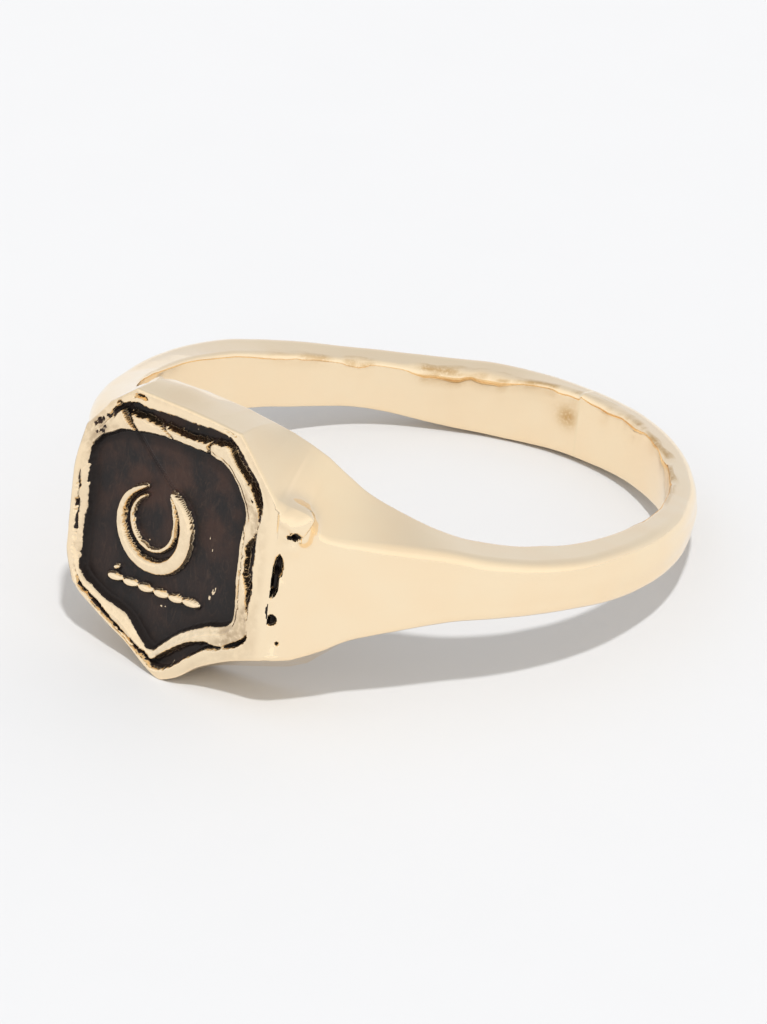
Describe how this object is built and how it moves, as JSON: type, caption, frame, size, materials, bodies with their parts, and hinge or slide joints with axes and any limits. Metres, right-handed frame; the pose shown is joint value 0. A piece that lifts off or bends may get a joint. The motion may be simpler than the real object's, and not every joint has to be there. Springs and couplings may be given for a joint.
{
  "type": "signet ring",
  "caption": "Finger ring whose shank widens into a shield-shaped seven-sided head, with a sunk dark seal that shows a crescent moon over a row of beads.",
  "frame": {"origin": "centre of the finger bore, on its axis, level with the middle of the shank's height at the back", "axes": "+Z along the finger, towards the seal's level upper edge; the seal faces -Y; +X across the seal, to its right as seen from the front"},
  "size_m": [0.0198, 0.0204, 0.0092],
  "materials": {
    "gold": "polished pale yellow 14k gold",
    "seal_gold": "cast gold with rubbed high spots",
    "solder": "polished gold solder",
    "patina": "matte brown-black oxide, brushed"
  },
  "bodies": {
    "root": {"shank_arm_left": "gold", "shank_arm_right": "gold", "sizing_seam": "solder", "head_block": "gold", "head_solder_left": "solder", "head_solder_right": "solder", "seal_solder": "solder", "seal_plate": "seal_gold", "outer_rim": "seal_gold", "inner_rim": "seal_gold", "moon": "seal_gold", "moon_line": "seal_gold", "bead_row": "seal_gold", "field_patina": "patina", "groove_patina": "patina", "casting_bead": "gold", "pit_patina": "patina"}
  },
  "joints": []
}
